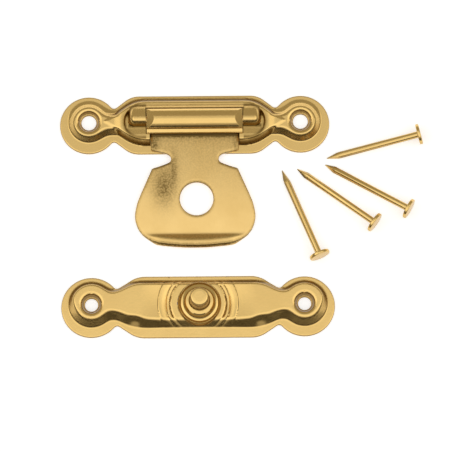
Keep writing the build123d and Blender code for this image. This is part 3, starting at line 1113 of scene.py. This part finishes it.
# each finish's tarnish colour is also the colour of its painted shade
finishes = {
    "plateBrass": {
        "bright": (0.93, 0.63, 0.225),
        "deep": (0.85, 0.56, 0.19),
        "tarnishAndShade": (0.26, 0.155, 0.038),
        "amount": 0.5,
        "fleck": 0.15,
        "roughness": (0.17, 0.26),
        "bump": 0.12,
        "scratch": 0.3,
    },
    "flapBrass": {
        "bright": (1.0, 0.69, 0.265),
        "deep": (0.9, 0.6, 0.21),
        "tarnishAndShade": (0.22, 0.14, 0.042),
        "amount": 0.6,
        "fleck": 0.75,
        "roughness": (0.3, 0.42),
        "bump": 0.2,
        "scratch": 0.6,
    },
    "barrelBrass": {
        "bright": (0.92, 0.62, 0.22),
        "deep": (0.82, 0.54, 0.18),
        "tarnishAndShade": (0.16, 0.11, 0.045),
        "amount": 0.5,
        "fleck": 0.15,
        "roughness": (0.2, 0.3),
        "bump": 0.12,
        "scratch": 0.3,
    },
    "pinBrass": {
        "bright": (0.8, 0.54, 0.2),
        "deep": (0.6, 0.41, 0.15),
        "tarnishAndShade": (0.4, 0.3, 0.12),
        "amount": 0.6,
        "fleck": 0.3,
        "roughness": (0.25, 0.35),
        "bump": 0.2,
        "scratch": 0.5,
    },
    # spring steel darkened as painted shade, so the gaps round the barrel look dark
    "springSteelInShade": {
        "bright": (0.16, 0.12, 0.07),
        "deep": (0.1, 0.075, 0.045),
        "tarnishAndShade": (0.08, 0.06, 0.04),
        "amount": 0.7,
        "fleck": 0.3,
        "roughness": (0.35, 0.5),
        "bump": 0.2,
        "scratch": 0.5,
    },
    "nailBrass": {
        "bright": (0.92, 0.63, 0.23),
        "deep": (0.8, 0.53, 0.18),
        "tarnishAndShade": (0.2, 0.13, 0.05),
        "amount": 0.5,
        "fleck": 0.2,
        "roughness": (0.2, 0.3),
        "bump": 0.12,
        "scratch": 0.3,
    },
}


def makeMetal(name):
    look = finishes[name]
    material = bpy.data.materials.new(name)
    material.use_nodes = True
    tree = material.node_tree
    nodes, links = tree.nodes, tree.links
    shader = nodes["Principled BSDF"]
    shader.inputs["Metallic"].default_value = 1
    place = nodes.new("ShaderNodeTexCoord").outputs["Object"]
    # the painted mask of tarnish, wear and painted shade
    tarnishWearAndShade = nodes.new("ShaderNodeAttribute")
    tarnishWearAndShade.attribute_name = "tarnishWearAndShade"
    tone = nodes.new("ShaderNodeGroup")
    tone.node_tree = platedTone
    for key in ("bright", "deep", "tarnishAndShade"):
        tone.inputs[key.title()].default_value = (*look[key], 1)
    for key in ("amount", "fleck"):
        tone.inputs[key.title()].default_value = look[key]
    links.new(place, tone.inputs["Position"])
    links.new(tarnishWearAndShade.outputs["Fac"], tone.inputs["TarnishWearAndShade"])
    links.new(tone.outputs["Tone"], shader.inputs["Base Color"])
    rough = addRange(tree, tone.outputs["Mask"], after=look["roughness"])
    links.new(rough, shader.inputs["Roughness"])
    grain = nodes.new("ShaderNodeGroup")
    grain.node_tree = sheetGrain
    grain.inputs["Scratch"].default_value = look["scratch"]
    links.new(place, grain.inputs["Position"])
    relief = nodes.new("ShaderNodeBump")
    relief.inputs["Strength"].default_value = look["bump"]
    relief.inputs["Distance"].default_value = grains["depth"]
    links.new(grain.outputs["Height"], relief.inputs["Height"])
    links.new(relief.outputs["Normal"], shader.inputs["Normal"])
    return material


metals = {name: makeMetal(name) for name in finishes}
for nodeName, finish in (("hinge_pin", "pinBrass"), ("leaf_spring", "springSteelInShade")):
    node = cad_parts[nodeName]
    node.data.materials.clear()
    node.data.materials.append(metals[finish])
print("finishes")


def dress(piece, finish, body, slot, *nodes):
    if not piece.data.materials:
        piece.data.materials.append(metals[finish])
    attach(piece, body)
    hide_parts(*nodes)
    print(piece.name, len(piece.data.polygons))


dress(makeHingePlate(), "plateBrass", "plates", "plate_brass", "hinge_plate")
dress(makeCatchPlate(), "plateBrass", "plates", "plate_brass", "catch_plate")
dress(makeFlap(), "flapBrass", "flap", "flap_brass", "hasp_flap")
nailPattern = makeNail()
for number, place in enumerate(nail["places"], start=1):
    laid = layNail(nailPattern, number, *place)
    dress(laid, "nailBrass", "plates", "nail_brass", f"nail_{number}")
bpy.data.objects.remove(nailPattern)

# Floor, lights and camera, in metres except where millimetres are noted
studio = {
    "mainHeight": 0.4,
    "mainBack": 26,  # degrees from overhead that the lamp reaches behind, and in front
    "mainFront": 43,
    "mainHalfWidth": 0.6,
    "mainRadiance": 0.68,
    "fillHeight": 0.38,
    "fillBack": 6,
    "fillFront": 60,
    "fillHalfWidth": 0.45,
    "fillRadiance": 0.34,
    "tentR": 1.2,
    "tentHeight": 2.45,
    "tentSink": 0.02,  # how far the screen goes on under the floor
    "tentLid": 0.05,  # how much of its top is dark
    "tentReach": (-0.8, 0.3),  # where its light starts to grow and where it is full, in radii
    "tentFront": 0.07,
    "tentBack": 0.36,
    "tentColour": (1.0, 0.94, 0.78),
    "floorSize": 3,
    "floorColour": (0.9, 0.9, 0.9),
    "floorRoughness": 0.9,
    "floorGlow": 0.5,
    "darkHalfX": 7.0,  # part under the hinge plate that doesn't glow, in millimetres
    "darkHalfY": 2.4,
    "darkCentreY": 0.5,
    "elevation": 79.0,
    "roll": 0.45,
    "target": (4.09, -14.11, 0.0),  # millimetres, as is the frame's width
    "frameWidth": 60.27,
    "distance": 0.6,
    "sensor": 36,  # millimetres
}


def addSeenBackground(tree):
    # One for the rays that see the background: straight from the camera, mirrored or through glass
    path = tree.nodes.new("ShaderNodeLightPath").outputs
    seen = addMath(tree, "MAXIMUM", path["Is Camera Ray"], path["Is Glossy Ray"])
    return addMath(tree, "MAXIMUM", seen, path["Is Transmission Ray"])


def splitPlace(tree):
    place = tree.nodes.new("ShaderNodeTexCoord")
    split = tree.nodes.new("ShaderNodeSeparateXYZ")
    tree.links.new(place.outputs["Object"], split.inputs[0])
    return split.outputs


def makeFloor():
    s = studio
    deselectAll()
    bpy.ops.mesh.primitive_plane_add(size=s["floorSize"])
    floor = bpy.context.object
    floor.name = "floor"
    material = bpy.data.materials.new("paleFloor")
    material.use_nodes = True
    tree = material.node_tree
    nodes, links = tree.nodes, tree.links
    shader = nodes["Principled BSDF"]
    shader.inputs["Base Color"].default_value = (*s["floorColour"], 1)
    shader.inputs["Roughness"].default_value = s["floorRoughness"]
    shader.inputs["Specular IOR Level"].default_value = 0
    # no glow under the hinge plate, where it would show through the gaps round the barrel
    place = splitPlace(tree)
    aside = addMath(tree, "ABSOLUTE", place["X"])
    beside = addMath(tree, "GREATER_THAN", aside, s["darkHalfX"] * mm)
    away = addMath(tree, "SUBTRACT", place["Y"], s["darkCentreY"] * mm)
    beyond = addMath(tree, "GREATER_THAN", addMath(tree, "ABSOLUTE", away), s["darkHalfY"] * mm)
    outside = addMath(tree, "MAXIMUM", beside, beyond)
    seen = addMath(tree, "MULTIPLY", addSeenBackground(tree), outside)
    glow = nodes.new("ShaderNodeEmission")
    links.new(addMath(tree, "MULTIPLY", seen, s["floorGlow"]), glow.inputs["Strength"])
    both = nodes.new("ShaderNodeAddShader")
    links.new(shader.outputs[0], both.inputs[0])
    links.new(glow.outputs[0], both.inputs[1])
    links.new(both.outputs[0], nodes["Material Output"].inputs["Surface"])
    floor.data.materials.append(material)


def makeTent():
    # A round screen behind the lamps, dim at the front and dark overhead, that only the metal sees
    s = studio
    deselectAll()
    bpy.ops.mesh.primitive_cylinder_add(
        vertices=96, radius=s["tentR"], depth=s["tentHeight"],
        location=(0, 0, s["tentHeight"] / 2 - s["tentSink"]),
    )
    tent = bpy.context.object
    bpy.ops.object.transform_apply(location=True, rotation=True, scale=True)
    tent.name = "tent"
    tent.visible_camera = False
    material = bpy.data.materials.new("tentCloth")
    material.use_nodes = True
    tree = material.node_tree
    nodes, links = tree.nodes, tree.links
    nodes.remove(nodes["Principled BSDF"])
    place = splitPlace(tree)
    reach = [share * s["tentR"] for share in s["tentReach"]]
    level = addRange(tree, place["Y"], reach, (s["tentFront"], s["tentBack"]))
    underCeiling = addMath(tree, "LESS_THAN", place["Z"], s["tentHeight"] - s["tentLid"])
    glow = nodes.new("ShaderNodeEmission")
    glow.inputs["Color"].default_value = (*s["tentColour"], 1)
    links.new(addMath(tree, "MULTIPLY", level, underCeiling), glow.inputs["Strength"])
    links.new(glow.outputs[0], nodes["Material Output"].inputs["Surface"])
    tent.data.materials.append(material)


def makeLamp(kind):
    s = studio
    height = s[kind + "Height"]
    front = -height * math.tan(math.radians(s[kind + "Front"]))
    back = height * math.tan(math.radians(s[kind + "Back"]))
    deselectAll()
    bpy.ops.object.light_add(type="AREA", location=(0, (front + back) / 2, height))
    lamp = bpy.context.object
    lamp.name = kind + "Lamp"
    lamp.data.shape = "RECTANGLE"
    lamp.data.size = 2 * s[kind + "HalfWidth"]
    lamp.data.size_y = back - front
    lamp.data.energy = s[kind + "Radiance"] * math.pi * lamp.data.size * lamp.data.size_y


def makeWorld():
    world = bpy.data.worlds.new("studio")
    bpy.context.scene.world = world
    world.use_nodes = True
    tree = world.node_tree
    background = tree.nodes["Background"]
    background.inputs["Color"].default_value = (1, 1, 1, 1)
    tree.links.new(addSeenBackground(tree), background.inputs["Strength"])


def makeCamera():
    s = studio
    bpy.ops.object.camera_add()
    camera = bpy.context.object
    camera.name = "camera"
    tilt = math.radians(90 - s["elevation"])
    turn = Matrix.Rotation(tilt, 4, "X") @ Matrix.Rotation(-math.radians(s["roll"]), 4, "Z")
    place = Vector(s["target"]) * mm + turn @ Vector((0, 0, s["distance"]))
    camera.matrix_world = Matrix.Translation(place) @ turn
    camera.data.sensor_width = s["sensor"]
    camera.data.lens = s["sensor"] * s["distance"] / (s["frameWidth"] * mm)
    camera.data.clip_end = 10
    bpy.context.scene.camera = camera


makeFloor()
makeTent()
makeLamp("main")
makeLamp("fill")
makeWorld()
makeCamera()
bpy.context.scene.view_settings.view_transform = "Standard"
print("studio")
